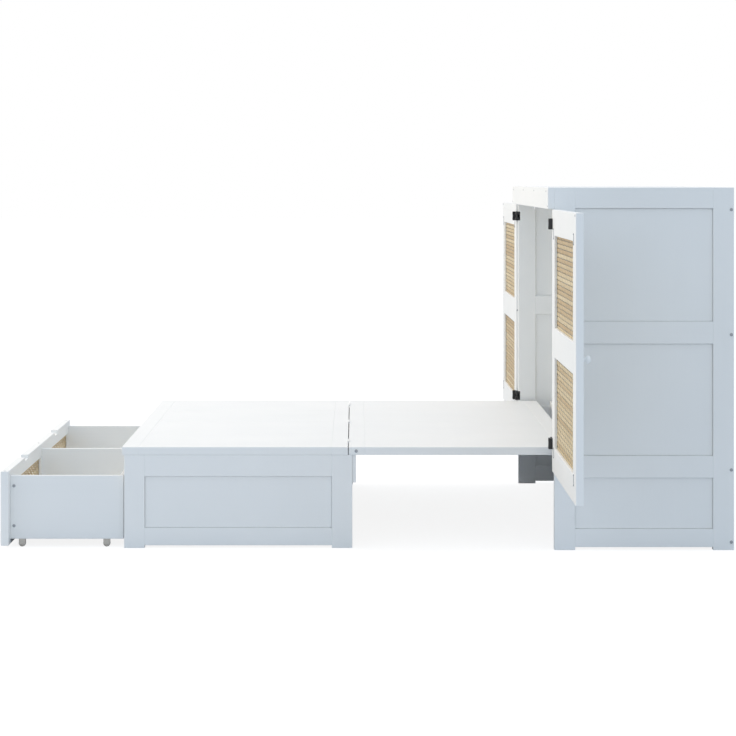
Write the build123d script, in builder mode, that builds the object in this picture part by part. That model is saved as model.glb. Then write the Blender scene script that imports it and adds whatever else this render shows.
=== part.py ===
"""A cabinet storage bed, shown open.

A shallow white cabinet stands at the head end (+X). Two rattan doors are swung right back beside
it. A two-part platform has come down in front of it: the middle part turns on pins inside the
cabinet, and the foot part unfolds from the middle part on top-edge hinges and stands on two leg
frames that fold flat under it. A wide drawer on castors is rolled out from under the foot end (-X).

Millimetres, +Z up, X along the bed, Y across it. Right is -Y and left is +Y, as seen from the foot.
The origin is on the floor, in the middle of the open bed's length and width.
"""

import os

from build123d import *

# Cabinet
cabinet_width = 1624.0
cabinet_height = 1215.0
cabinet_depth = 602.0
frame_board = 24.0
post_width = 70.0
top_rail_height = 70.0
middle_rail_height = 75.0
low_rail_height = 74.0
bottom_rail_height = 61.0
bottom_rail_lift = 10.0
middle_rail_z = 691.0
low_rail_z = 242.0
side_panel_thickness = 8.0
side_panel_recess = 8.0
panel_line_width = 1.2
panel_line_depth = 3.0
top_board_thickness = 24.0
apron_thickness = 22.0
apron_height = 72.0
back_rail_thickness = 18.0
back_panel_thickness = 6.0
back_rail_height = 80.0

# Platforms
deck_side_gap = 18.0
deck_height = 340.0
deck_thickness = 26.5
platform_length = 762.0
batten_width = 55.0
board_count = 4
seam_gap = 3.0
head_setback = 73.0
bearer_width = 40.0
bearer_height = 38.0
bearer_pitch = 290.0
inner_platform_gap = 55.0
inner_platform_drop = 4.0
inner_board_thickness = 18.0
inner_board_count = 4
inner_rail_height = 60.0
inner_rail_thickness = 20.0
cleat_width = 20.0
cleat_height = 36.0

# Leg frames of the foot platform
leg_frame_thickness = 22.0
leg_post_width = 69.0
leg_frame_setback = 8.0
leg_ledge = 15.0
leg_top_rail_height = 72.0
leg_bottom_rail_z = 9.0
leg_bottom_rail_height = 59.0
leg_panel_thickness = 8.0
leg_panel_recess = 7.0
tie_rail_thickness = 12.0
tie_rail_height = 93.0
tie_rail_inset = 4.0

# Doors
door_thickness = 23.5
door_bottom = 265.0
door_top_gap = 2.0
door_side_gap = 3.0
door_centre_gap = 6.0
door_open_setback = 14.0
stile_width = 86.0
door_rail_height = 86.0
door_middle_rail_height = 98.0
door_middle_rail_z = 652.0
rattan_thickness = 3.0
rattan_recess = 8.5
knob_height = 700.0
knob_edge_distance = 43.0
knob_radius = 12.0
knob_neck_radius = 6.5
knob_projection = 25.0
knob_rim_radius = 4.0

# Drawer
drawer_reach = 406.0
drawer_front_inset = 25.0
drawer_front_thickness = 27.0
drawer_front_bottom = 10.0
drawer_front_height = 250.0
drawer_top_rail_height = 49.0
drawer_bottom_rail_height = 52.0
drawer_stile_width = 60.0
drawer_box_height = 214.0
drawer_side_thickness = 15.0
drawer_bottom_thickness = 8.0
drawer_bottom_lift = 12.0
drawer_groove_depth = 5.0
drawer_rear_gap = 4.0
drawer_side_gap = 3.0
notch_length = 81.0
notch_depth = 13.0

# Castors under the drawer
wheel_radius = 12.0
wheel_width = 12.0
castor_length = 22.0
castor_plate_thickness = 2.0
castor_cheek_thickness = 2.0
castor_wheel_gap = 1.0
castor_front_setback = 39.0
castor_rear_setback = 58.0
axle_radius = 2.0

# Hinges and pivots
pivot_radius = 6.0
pivot_depth = 25.0
pivot_head_distance = 13.0
pivot_end_gap = 1.0
pivot_plate_length = 56.0
pivot_plate_height = 24.0
pivot_plate_thickness = 3.0
bush_wall = 2.0
bush_flange_radius = 13.0
door_hinge_height = 36.0
door_hinge_top_drop = 48.0
door_hinge_bottom_rise = 94.0
door_hinge_width = 21.0
door_hinge_notch = 7.0
door_hinge_back = 3.0
door_hinge_nose = 9.5
door_hinge_corner = 6.0
door_hinge_slot = 12.0
door_cover_depth = 13.0
door_cover_width = 22.0
door_pin_radius = 2.5
door_knuckle_radius = 6.5
door_arm_back = 4.5
door_leaf_thickness = 2.4
seam_hinge_length = 66.0
seam_hinge_pitch = 600.0
seam_knuckle_radius = 3.5
seam_axis_rise = 0.5
seam_leaf_width = 24.0
leg_hinge_length = 50.0
leg_hinge_end_distance = 150.0
leg_knuckle_radius = 3.0
leg_axis_inset = 1.0
leg_leaf_width = 21.0
small_pin_radius = 1.5
leaf_thickness = 1.6

# Fasteners
bolt_head_radius = 5.5
bolt_head_height = 2.5
bolt_rim_radius = 1.5
bolt_edge_distance = 9.0
rail_bolt_rises = (17.0, 27.0, 31.0)
top_bolt_drop = 74.0
bolt_from_seam = 25.0
screw_head_radius = 3.0
screw_head_height = 1.0
apron_screw_count = 4
apron_screw_end_distance = 68.0
apron_screw_drop = 13.0
apron_corner_inset = 14.0
apron_corner_rise = 9.0
front_screw_end_distance = 10.0
side_bolt_setback = 12.0
side_bolt_rise = 44.0
side_bolt_drop = 35.0
side_bolt_height = 1.8

# Clearances and edges
running_gap = 0.05
knuckle_gap = 0.3
seat_gap = 0.3
board_gap = 0.6
groove_depth = 6.0
groove_gap = 0.2
tongue = groove_depth - groove_gap
edge_ease = 1.0

# Places along the bed
open_length = cabinet_depth - head_setback + 2 * platform_length + seam_gap + drawer_reach
rear_x = open_length / 2
front_x = rear_x - cabinet_depth
apron_x = front_x - apron_thickness
middle_head_x = front_x + head_setback
middle_foot_x = middle_head_x - platform_length
foot_head_x = middle_foot_x - seam_gap
foot_foot_x = foot_head_x - platform_length
seam_x = (middle_foot_x + foot_head_x) / 2
inner_front_x = middle_head_x + inner_platform_gap
back_panel_x = rear_x - back_rail_thickness - back_panel_thickness
drawer_front_x = foot_foot_x - drawer_reach

# Places across the bed
outer_y = cabinet_width / 2
inner_y = outer_y - frame_board
deck_y = inner_y - deck_side_gap
deck_width = 2 * deck_y
leg_inner_y = deck_y - leg_frame_thickness
drawer_front_y = outer_y - drawer_front_inset
drawer_y = leg_inner_y - drawer_side_gap

# Heights
deck_bottom = deck_height - deck_thickness
deck_middle = deck_height - deck_thickness / 2
leg_top = deck_bottom - seat_gap
inner_top = deck_height - inner_platform_drop
inner_bottom = inner_top - inner_board_thickness
apron_bottom = cabinet_height - apron_height
top_board_bottom = cabinet_height - top_board_thickness
door_top = apron_bottom - door_top_gap
drawer_box_bottom = 2 * wheel_radius + castor_wheel_gap + castor_plate_thickness

sides = {"right": -1, "left": 1}


def across(sign, near, far):
    """The span from near to far off the middle line, on the side that sign gives."""
    return tuple(sorted((sign * near, sign * far)))


def board(x, y, z, ease=edge_ease, mode=Mode.ADD):
    """A planed board that fills three spans, with its sharp edges taken off."""
    with BuildSketch(Plane.XY.offset(z[0])) as outline:
        with Locations(((x[0] + x[1]) / 2, (y[0] + y[1]) / 2)):
            Rectangle(x[1] - x[0], y[1] - y[0])
    extrude(outline.sketch, amount=z[1] - z[0], mode=mode)
    if ease and mode == Mode.ADD:
        chamfer(edges(Select.LAST), ease)


def cut(x, y, z):
    """A square-cornered pocket that fills three spans."""
    board(x, y, z, ease=0, mode=Mode.SUBTRACT)


def rod(start, direction, radius, length, mode=Mode.ADD):
    """A round bar, or a bore, that runs for length along direction."""
    with BuildSketch(Plane(origin=start, z_dir=direction)) as section:
        Circle(radius)
    extrude(section.sketch, amount=length, mode=mode)


def widened(span, by):
    """A span made longer by the same amount at both ends."""
    return (span[0] - by, span[1] + by)


def around(centre, length):
    """The span of a given length about a centre."""
    return (centre - length / 2, centre + length / 2)


def panel(x, y, z, sign):
    """A thin panel with tongues all round, and a fine line sunk round its outer face inside the frame."""
    board(widened(x, tongue), y, widened(z, tongue), ease=0)
    outer = y[0] if sign < 0 else y[1]
    line_y = tuple(sorted((outer, outer - sign * panel_line_depth)))
    cut(x, line_y, z)
    board(widened(x, -panel_line_width), line_y, widened(z, -panel_line_width), ease=0)


def save(part, name):
    part.label = name
    export_step(part, f"parts/{name}.step")


os.makedirs("parts", exist_ok=True)

# The cabinet's two side frames: posts, four rails and three panels let into grooves.
rail_x = (front_x + post_width, rear_x - post_width)
side_rails = [
    (bottom_rail_lift, bottom_rail_lift + bottom_rail_height),
    (low_rail_z, low_rail_z + low_rail_height),
    (middle_rail_z, middle_rail_z + middle_rail_height),
    (cabinet_height - top_rail_height, cabinet_height),
]
side_panels = [(low[1], high[0]) for low, high in zip(side_rails, side_rails[1:])]
panel_outer_y = outer_y - side_panel_recess
panel_inner_y = panel_outer_y - side_panel_thickness
door_hinge_zs = (door_bottom + door_hinge_bottom_rise, door_top - door_hinge_top_drop)

for side, sign in sides.items():
    frame_y = across(sign, inner_y, outer_y)
    panel_y = across(sign, panel_inner_y, panel_outer_y)
    groove_y = widened(panel_y, groove_gap / 2)

    with BuildPart() as cabinet_posts:
        board((front_x, front_x + post_width), frame_y, (0, cabinet_height))
        board((rear_x - post_width, rear_x), frame_y, (0, cabinet_height))
        for span in side_panels:
            cut(widened(rail_x, groove_depth), groove_y, widened(span, groove_depth))
        for z in door_hinge_zs:
            cut((front_x, front_x + door_hinge_notch), frame_y, around(z, door_hinge_height))
    save(cabinet_posts.part, f"cabinet_posts_{side}")

    with BuildPart() as cabinet_side_rails:
        for span in side_rails:
            board(rail_x, frame_y, span)
        for span in side_panels:
            cut(rail_x, groove_y, widened(span, groove_depth))
    save(cabinet_side_rails.part, f"cabinet_side_rails_{side}")

    with BuildPart() as cabinet_side_panels:
        for span in side_panels:
            panel(rail_x, panel_y, span, sign)
    save(cabinet_side_panels.part, f"cabinet_side_panels_{side}")

# The top, the deep apron under its front edge, and the back.
with BuildPart() as cabinet_top_board:
    board((front_x, rear_x), (-inner_y, inner_y), (top_board_bottom, cabinet_height))
save(cabinet_top_board.part, "cabinet_top_board")

with BuildPart() as front_apron:
    board((apron_x, front_x), (-outer_y, outer_y), (apron_bottom, cabinet_height))
save(front_apron.part, "front_apron")

back_rail_x = (rear_x - back_rail_thickness, rear_x)
back_bottom = bottom_rail_lift
back_rails = [
    (back_bottom, back_bottom + back_rail_height),
    (middle_rail_z, middle_rail_z + back_rail_height),
    (top_board_bottom - back_rail_height, top_board_bottom),
]
with BuildPart() as cabinet_back_rails:
    for span in back_rails:
        board(back_rail_x, (-inner_y, inner_y), span)
save(cabinet_back_rails.part, "cabinet_back_rails")

with BuildPart() as cabinet_back_panels:
    for sign in sides.values():
        board(
            (back_panel_x, rear_x - back_rail_thickness),
            across(sign, board_gap / 2, inner_y),
            (back_bottom, top_board_bottom),
            ease=0,
        )
save(cabinet_back_panels.part, "cabinet_back_panels")

# The fixed inner platform behind the folding one: boards on a front rail and three cleats.
inner_depth = back_panel_x - inner_front_x
inner_pitch = (inner_depth + board_gap) / inner_board_count
with BuildPart() as inner_platform_boards:
    for index in range(inner_board_count):
        start = inner_front_x + index * inner_pitch
        board((start, start + inner_pitch - board_gap), (-inner_y, inner_y), (inner_bottom, inner_top))
save(inner_platform_boards.part, "inner_platform_boards")

with BuildPart() as inner_platform_front_rail:
    board(
        (inner_front_x, inner_front_x + inner_rail_thickness),
        (-inner_y, inner_y),
        (inner_bottom - inner_rail_height, inner_bottom),
    )
save(inner_platform_front_rail.part, "inner_platform_front_rail")

cleat_z = (inner_bottom - cleat_height, inner_bottom)
with BuildPart() as inner_platform_cleats:
    for sign in sides.values():
        board(
            (inner_front_x + inner_rail_thickness, back_panel_x),
            across(sign, inner_y - cleat_width, inner_y),
            cleat_z,
        )
    board(
        (back_panel_x - cleat_width, back_panel_x),
        (cleat_width - inner_y + board_gap, inner_y - cleat_width - board_gap),
        cleat_z,
    )
save(inner_platform_cleats.part, "inner_platform_cleats")

# The pins that the middle platform turns on, each on a plate inside a front post.
pivot_x = middle_head_x - pivot_head_distance
pivot_reach = inner_y - deck_y + pivot_depth - pivot_end_gap
with BuildPart() as platform_pivot_brackets:
    for sign in sides.values():
        board(
            (front_x + post_width - pivot_plate_length, front_x + post_width),
            across(sign, inner_y - pivot_plate_thickness, inner_y),
            around(deck_middle, pivot_plate_height),
            ease=0,
        )
        rod((pivot_x, sign * inner_y, deck_middle), (0, -sign, 0), pivot_radius, pivot_reach)
save(platform_pivot_brackets.part, "platform_pivot_brackets")

# Bolt heads down the rear posts, and screws along the apron.
bolt_x = rear_x - bolt_edge_distance
bolt_zs = [rail[0] + rise for rail, rise in zip(side_rails, rail_bolt_rises)]
bolt_zs.append(cabinet_height - top_bolt_drop)
with BuildPart() as cabinet_bolts:
    for sign in sides.values():
        for z in bolt_zs:
            rod((bolt_x, sign * outer_y, z), (0, sign, 0), bolt_head_radius, bolt_head_height)
            rims = edges(Select.LAST).filter_by(GeomType.CIRCLE).sort_by(Axis.Y)
            fillet(rims[0] if sign < 0 else rims[-1], bolt_rim_radius)
save(cabinet_bolts.part, "cabinet_bolts")

screw_row_start = apron_screw_end_distance - outer_y
screw_pitch = -2 * screw_row_start / (apron_screw_count - 1)
screw_row_ys = [screw_row_start + index * screw_pitch for index in range(apron_screw_count)]
apron_corner_y = outer_y - apron_corner_inset
with BuildPart() as apron_screws:
    screw_places = [(y, cabinet_height - apron_screw_drop) for y in screw_row_ys]
    screw_places += [(sign * apron_corner_y, apron_bottom + apron_corner_rise) for sign in sides.values()]
    for y, z in screw_places:
        rod((apron_x, y, z), (-1, 0, 0), screw_head_radius, screw_head_height)
save(apron_screws.part, "apron_screws")

# The fixed halves of the door hinges: a black fork with an upright pin, let into the front post.
pin_x = apron_x + (door_open_setback + door_thickness) / 2
pin_y = outer_y - frame_board / 2
hinge_back_x = front_x + door_hinge_notch
with BuildPart() as door_hinge_blocks:
    for sign in sides.values():
        for z in door_hinge_zs:
            block_y = around(sign * pin_y, door_hinge_width)
            block_z = around(z, door_hinge_height)
            board((pin_x - door_hinge_nose, hinge_back_x), block_y, block_z, ease=0)
            fillet(edges(Select.LAST).filter_by(Axis.Z).group_by(Axis.X)[0], door_hinge_corner)
            slot_x = (pin_x - door_hinge_nose, hinge_back_x - door_hinge_back)
            cut(slot_x, block_y, widened(around(z, door_hinge_slot), knuckle_gap))
            rod((pin_x, sign * pin_y, block_z[0]), (0, 0, 1), door_pin_radius, door_hinge_height)
save(door_hinge_blocks.part, "door_hinge_blocks")

# The two doors, swung right back: frames of two stiles and three rails, filled with woven rattan.
door_x = (apron_x + door_open_setback, apron_x + door_open_setback + door_thickness)
door_hinge_edge = 2 * pin_y - inner_y + door_side_gap
door_width = inner_y - door_side_gap - door_centre_gap / 2
door_free_edge = door_hinge_edge + door_width
leaf_outer_y = door_hinge_edge - door_leaf_thickness
rattan_x = (door_x[0] + rattan_recess, door_x[0] + rattan_recess + rattan_thickness)
rattan_groove_x = widened(rattan_x, groove_gap / 2)
door_rails = [
    (door_bottom, door_bottom + door_rail_height),
    (door_middle_rail_z, door_middle_rail_z + door_middle_rail_height),
    (door_top - door_rail_height, door_top),
]
door_bays = [(low[1], high[0]) for low, high in zip(door_rails, door_rails[1:])]

for side, sign in sides.items():
    bay_y = across(sign, door_hinge_edge + stile_width, door_free_edge - stile_width)

    with BuildPart() as door_stiles:
        board(door_x, across(sign, door_hinge_edge, door_hinge_edge + stile_width), (door_bottom, door_top))
        board(door_x, across(sign, door_free_edge - stile_width, door_free_edge), (door_bottom, door_top))
        for span in door_bays:
            cut(rattan_groove_x, widened(bay_y, groove_depth), widened(span, groove_depth))
    save(door_stiles.part, f"door_stiles_{side}")

    with BuildPart() as door_rail_set:
        for span in door_rails:
            board(door_x, bay_y, span)
        for span in door_bays:
            cut(rattan_groove_x, bay_y, widened(span, groove_depth))
    save(door_rail_set.part, f"door_rails_{side}")

    with BuildPart() as door_rattan:
        for span in door_bays:
            board(rattan_x, widened(bay_y, tongue), widened(span, tongue), ease=0)
    save(door_rattan.part, f"door_rattan_{side}")

    knob_y = sign * (door_free_edge - knob_edge_distance)
    with BuildPart() as door_knob:
        rod((door_x[1], knob_y, knob_height), (1, 0, 0), knob_neck_radius, knob_projection)
        head_start = door_x[1] + knob_projection / 2
        rod((head_start, knob_y, knob_height), (1, 0, 0), knob_radius, knob_projection / 2)
        rims = edges().filter_by(GeomType.CIRCLE).filter_by(lambda rim: rim.radius == knob_radius)
        fillet(rims, knob_rim_radius)
    save(door_knob.part, f"door_knob_{side}")

    with BuildPart() as door_hinge_leaves:
        for z in door_hinge_zs:
            leaf_z = around(z, door_hinge_height)
            arm_z = around(z, door_hinge_slot)
            leaf_y = across(sign, leaf_outer_y, door_hinge_edge)
            board((door_x[0], door_x[1] - edge_ease), leaf_y, leaf_z, ease=0)
            cover_y = across(sign, leaf_outer_y, door_hinge_edge + door_cover_width)
            board((door_x[0] - door_cover_depth, door_x[0]), cover_y, leaf_z, ease=0)
            arm_y = across(sign, pin_y, door_hinge_edge)
            board((door_x[0], pin_x + door_arm_back), arm_y, arm_z, ease=0)
            knuckle = (pin_x, sign * pin_y, arm_z[0])
            rod(knuckle, (0, 0, 1), door_knuckle_radius, door_hinge_slot)
            rod(knuckle, (0, 0, 1), door_pin_radius + running_gap, door_hinge_slot, Mode.SUBTRACT)
    save(door_hinge_leaves.part, f"door_hinge_leaves_{side}")


def thirds(centre, length):
    """The three knuckle spans of a hinge, with a little play between them."""
    third = length / 3
    low = centre - length / 2
    return [
        (low, low + third - knuckle_gap),
        (low + third, low + 2 * third),
        (low + 2 * third + knuckle_gap, low + length),
    ]


# Both platforms: a batten across each end, wide boards between, and three bearers below.
seam_axis_z = deck_height + seam_axis_rise
seam_web = seam_knuckle_radius + seam_axis_rise
seam_hinge_ys = [-seam_hinge_pitch, 0.0, seam_hinge_pitch]
seam_leaf_z = (deck_height - leaf_thickness, deck_height)
bearer_ys = [-bearer_pitch, 0.0, bearer_pitch]
bearer_z = (deck_bottom - bearer_height, deck_bottom)
deck_z = (deck_bottom, deck_height)
board_pitch = (deck_width + board_gap) / board_count
leg_axis_y = leg_inner_y - leg_axis_inset
leg_axis_z = deck_bottom - leg_axis_inset
leg_hinge_xs = [foot_foot_x + leg_hinge_end_distance, foot_head_x - leg_hinge_end_distance]
leg_pocket = leg_knuckle_radius + knuckle_gap + seat_gap
leg_pocket_z = around(leg_axis_z, 2 * leg_pocket)


def seam_mortises(toward):
    """Pockets for the seam hinges, in the batten that lies toward +X or -X of the seam."""
    for y in seam_hinge_ys:
        length = around(y, seam_hinge_length)
        knuckle = tuple(sorted((seam_x, seam_x + toward * seam_web)))
        leaf = tuple(sorted((seam_x, seam_x + toward * (seam_web + seam_leaf_width))))
        cut(knuckle, widened(length, knuckle_gap), (deck_height - seam_web, deck_height))
        cut(leaf, length, seam_leaf_z)


def seam_leaves(toward, own):
    """The seam hinges' leaves on one platform, flush with its top, with webs at their knuckles."""
    for y in seam_hinge_ys:
        spans = thirds(y, seam_hinge_length)
        near = seam_x + toward * seam_web
        leaf = tuple(sorted((near, near + toward * seam_leaf_width)))
        board(leaf, around(y, seam_hinge_length), seam_leaf_z, ease=0)
        for index in own:
            web = tuple(sorted((seam_x, near)))
            board(web, spans[index], seam_leaf_z, ease=0)
            length = spans[index][1] - spans[index][0]
            rod((seam_x, spans[index][0], seam_axis_z), (0, 1, 0), seam_knuckle_radius, length)


def deck_boards(x):
    for index in range(board_count):
        low = -deck_y + index * board_pitch
        board(x, (low, low + board_pitch - board_gap), deck_z)


# The middle platform turns on two bushed pins at its head end.
middle_boards_x = (middle_foot_x + batten_width, middle_head_x - batten_width)
bush_radius = pivot_radius + running_gap + bush_wall
with BuildPart() as middle_platform_battens:
    board((middle_foot_x, middle_foot_x + batten_width), (-deck_y, deck_y), deck_z)
    board((middle_head_x - batten_width, middle_head_x), (-deck_y, deck_y), deck_z)
    seam_mortises(1)
    for sign in sides.values():
        rod((pivot_x, sign * deck_y, deck_middle), (0, -sign, 0), bush_radius, pivot_depth, Mode.SUBTRACT)
save(middle_platform_battens.part, "middle_platform_battens")

with BuildPart() as middle_platform_boards:
    deck_boards(middle_boards_x)
save(middle_platform_boards.part, "middle_platform_boards")

with BuildPart() as middle_platform_bearers:
    for y in bearer_ys:
        bearer_x = (middle_foot_x + bearer_width, middle_head_x - batten_width)
        board(bearer_x, around(y, bearer_width), bearer_z)
save(middle_platform_bearers.part, "middle_platform_bearers")

with BuildPart() as middle_platform_bushes:
    for sign in sides.values():
        edge = (pivot_x, sign * deck_y, deck_middle)
        rod(edge, (0, -sign, 0), bush_radius, pivot_depth)
        rod(edge, (0, sign, 0), bush_flange_radius, bush_wall)
        outer_edge = (pivot_x, sign * (deck_y + bush_wall), deck_middle)
        bore = pivot_radius + running_gap
        rod(outer_edge, (0, -sign, 0), bore, pivot_depth + bush_wall, mode=Mode.SUBTRACT)
save(middle_platform_bushes.part, "middle_platform_bushes")

with BuildPart() as middle_platform_bolts:
    for sign in sides.values():
        start = (middle_foot_x + bolt_from_seam, sign * deck_y, deck_middle)
        rod(start, (0, sign, 0), bolt_head_radius, bolt_head_height)
save(middle_platform_bolts.part, "middle_platform_bolts")

with BuildPart() as seam_hinge_leaves_middle:
    seam_leaves(1, own=(0, 2))
    for y in seam_hinge_ys:
        start = (seam_x, y - seam_hinge_length / 2, seam_axis_z)
        rod(start, (0, 1, 0), small_pin_radius, seam_hinge_length)
save(seam_hinge_leaves_middle.part, "seam_hinge_leaves_middle")

# The foot platform, with the tie rail that the middle platform's free end rests on.
foot_boards_x = (foot_foot_x + batten_width, foot_head_x - batten_width)
tie_rail_start = foot_head_x + leg_ledge + seat_gap
tie_rail_x = (tie_rail_start, tie_rail_start + tie_rail_thickness)
tie_rail_y = deck_y - tie_rail_inset
with BuildPart() as foot_platform_battens:
    board((foot_foot_x, foot_foot_x + batten_width), (-deck_y, deck_y), deck_z)
    board((foot_head_x - batten_width, foot_head_x), (-deck_y, deck_y), deck_z)
    seam_mortises(-1)
save(foot_platform_battens.part, "foot_platform_battens")

with BuildPart() as foot_platform_boards:
    deck_boards(foot_boards_x)
    for sign in sides.values():
        for x in leg_hinge_xs:
            pocket_y = around(sign * leg_axis_y, 2 * leg_pocket)
            cut(widened(around(x, leg_hinge_length), knuckle_gap), pocket_y, leg_pocket_z)
save(foot_platform_boards.part, "foot_platform_boards")

with BuildPart() as foot_platform_bearers:
    for y in bearer_ys:
        bearer_y = around(y, bearer_width)
        board((foot_foot_x + bearer_width, tie_rail_x[0]), bearer_y, bearer_z)
        cut((foot_head_x, tie_rail_x[0]), bearer_y, (leg_top, deck_bottom))
save(foot_platform_bearers.part, "foot_platform_bearers")

with BuildPart() as foot_platform_tie_rail:
    board(tie_rail_x, (-tie_rail_y, tie_rail_y), (leg_top - tie_rail_height, leg_top))
save(foot_platform_tie_rail.part, "foot_platform_tie_rail")

with BuildPart() as seam_hinge_leaves_foot:
    seam_leaves(-1, own=(1,))
    for y in seam_hinge_ys:
        start = (seam_x, y - seam_hinge_length / 2, seam_axis_z)
        rod(start, (0, 1, 0), small_pin_radius + running_gap, seam_hinge_length, Mode.SUBTRACT)
save(seam_hinge_leaves_foot.part, "seam_hinge_leaves_foot")

upper_leaf_edge = leg_axis_y - leg_knuckle_radius - knuckle_gap
upper_leaf_z = (deck_bottom - leaf_thickness, deck_bottom)
with BuildPart() as leg_hinge_leaves_deck:
    for sign in sides.values():
        for x in leg_hinge_xs:
            spans = thirds(x, leg_hinge_length)
            leaf_y = across(sign, upper_leaf_edge - leg_leaf_width, upper_leaf_edge)
            board(around(x, leg_hinge_length), leaf_y, upper_leaf_z, ease=0)
            for span in (spans[0], spans[2]):
                board(span, across(sign, upper_leaf_edge, leg_axis_y), upper_leaf_z, ease=0)
                start = (span[0], sign * leg_axis_y, leg_axis_z)
                rod(start, (1, 0, 0), leg_knuckle_radius, span[1] - span[0])
            pin_start = (spans[0][0], sign * leg_axis_y, leg_axis_z)
            rod(pin_start, (1, 0, 0), small_pin_radius, leg_hinge_length)
save(leg_hinge_leaves_deck.part, "leg_hinge_leaves_deck")

# The leg frames: two posts, two rails and a panel each, hinged to fold inward under the deck.
leg_x = (foot_foot_x + leg_frame_setback, foot_head_x + leg_ledge)
leg_rail_x = widened(leg_x, -leg_post_width)
leg_rails = [
    (leg_bottom_rail_z, leg_bottom_rail_z + leg_bottom_rail_height),
    (leg_top - leg_top_rail_height, leg_top),
]
leg_bay = (leg_rails[0][1], leg_rails[1][0])
lower_leaf_top = leg_axis_z - leg_knuckle_radius - knuckle_gap

for side, sign in sides.items():
    leg_y = across(sign, leg_inner_y, deck_y)
    leg_panel_outer = deck_y - leg_panel_recess
    leg_panel_y = across(sign, leg_panel_outer - leg_panel_thickness, leg_panel_outer)
    groove_y = widened(leg_panel_y, groove_gap / 2)
    lower_leaf_y = across(sign, leg_inner_y, leg_inner_y + leaf_thickness)
    pocket_y = around(sign * leg_axis_y, 2 * leg_pocket)

    with BuildPart() as leg_frame_posts:
        board((leg_x[0], leg_rail_x[0]), leg_y, (0, leg_top))
        board((leg_rail_x[1], leg_x[1]), leg_y, (0, leg_top))
        cut(widened(leg_rail_x, groove_depth), groove_y, widened(leg_bay, groove_depth))
    save(leg_frame_posts.part, f"leg_frame_posts_{side}")

    with BuildPart() as leg_frame_rails:
        for span in leg_rails:
            board(leg_rail_x, leg_y, span)
        cut(leg_rail_x, groove_y, widened(leg_bay, groove_depth))
        for x in leg_hinge_xs:
            hinge_x = around(x, leg_hinge_length)
            cut(widened(hinge_x, knuckle_gap), pocket_y, leg_pocket_z)
            cut(hinge_x, lower_leaf_y, (lower_leaf_top - leg_leaf_width, lower_leaf_top))
    save(leg_frame_rails.part, f"leg_frame_rails_{side}")

    with BuildPart() as leg_frame_panel:
        panel(leg_rail_x, leg_panel_y, leg_bay, sign)
    save(leg_frame_panel.part, f"leg_frame_panel_{side}")

    with BuildPart() as leg_hinge_leaves:
        for x in leg_hinge_xs:
            span = thirds(x, leg_hinge_length)[1]
            leaf_z = (lower_leaf_top - leg_leaf_width, lower_leaf_top)
            board(around(x, leg_hinge_length), lower_leaf_y, leaf_z, ease=0)
            board(span, lower_leaf_y, (lower_leaf_top, leg_axis_z), ease=0)
            start = (span[0], sign * leg_axis_y, leg_axis_z)
            rod(start, (1, 0, 0), leg_knuckle_radius, span[1] - span[0])
            bore = small_pin_radius + running_gap
            rod(start, (1, 0, 0), bore, span[1] - span[0], mode=Mode.SUBTRACT)
    save(leg_hinge_leaves.part, f"leg_hinge_leaves_{side}")

# The rolling drawer: its front is framed like the doors, with two finger notches in the top rail.
drawer_inner_x = drawer_front_x + drawer_front_thickness
drawer_rear_x = foot_foot_x + leg_frame_setback - drawer_rear_gap
drawer_front_xs = (drawer_front_x, drawer_inner_x)
drawer_front_top = drawer_front_bottom + drawer_front_height
drawer_front_ys = (-drawer_front_y, drawer_front_y)
front_rails = [
    (drawer_front_bottom, drawer_front_bottom + drawer_bottom_rail_height),
    (drawer_front_top - drawer_top_rail_height, drawer_front_top),
]
front_bay_z = (front_rails[0][1], front_rails[1][0])
front_rattan_x = (
    drawer_inner_x - rattan_recess - rattan_thickness,
    drawer_inner_x - rattan_recess,
)
front_groove_x = widened(front_rattan_x, groove_gap / 2)
half_stile = drawer_stile_width / 2
front_stile_ys = [
    (-drawer_front_y, -drawer_front_y + drawer_stile_width),
    (-half_stile, half_stile),
    (drawer_front_y - drawer_stile_width, drawer_front_y),
]
front_bays = [(low[1], high[0]) for low, high in zip(front_stile_ys, front_stile_ys[1:])]

with BuildPart() as drawer_front_rails:
    for span in front_rails:
        board(drawer_front_xs, drawer_front_ys, span)
    for span in front_bays:
        cut(front_groove_x, span, widened(front_bay_z, groove_depth))
    for span in front_bays:
        notch_y = around(sum(span) / 2, notch_length)
        cut(drawer_front_xs, notch_y, (drawer_front_top - notch_depth, drawer_front_top))
save(drawer_front_rails.part, "drawer_front_rails")

with BuildPart() as drawer_front_stiles:
    for span in front_stile_ys:
        board(drawer_front_xs, span, front_bay_z)
    for span in front_bays:
        cut(front_groove_x, widened(span, groove_depth), front_bay_z)
save(drawer_front_stiles.part, "drawer_front_stiles")

with BuildPart() as drawer_front_rattan:
    for span in front_bays:
        board(front_rattan_x, span, widened(front_bay_z, tongue), ease=0)
        board(front_rattan_x, widened(span, tongue), front_bay_z, ease=0)
save(drawer_front_rattan.part, "drawer_front_rattan")

drawer_box_z = (drawer_box_bottom, drawer_box_bottom + drawer_box_height)
drawer_inside_y = drawer_y - drawer_side_thickness
drawer_back_x = drawer_rear_x - drawer_side_thickness
floor_z = (
    drawer_box_bottom + drawer_bottom_lift,
    drawer_box_bottom + drawer_bottom_lift + drawer_bottom_thickness,
)
floor_x = (drawer_inner_x, drawer_back_x + drawer_groove_depth)
floor_y = (-drawer_inside_y - drawer_groove_depth, drawer_inside_y + drawer_groove_depth)

with BuildPart() as drawer_sides:
    for sign in sides.values():
        board((drawer_inner_x, drawer_rear_x), across(sign, drawer_inside_y, drawer_y), drawer_box_z)
    cut(floor_x, floor_y, floor_z)
save(drawer_sides.part, "drawer_sides")

with BuildPart() as drawer_back:
    board((drawer_back_x, drawer_rear_x), (-drawer_inside_y, drawer_inside_y), drawer_box_z)
    cut(floor_x, floor_y, floor_z)
save(drawer_back.part, "drawer_back")

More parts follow.
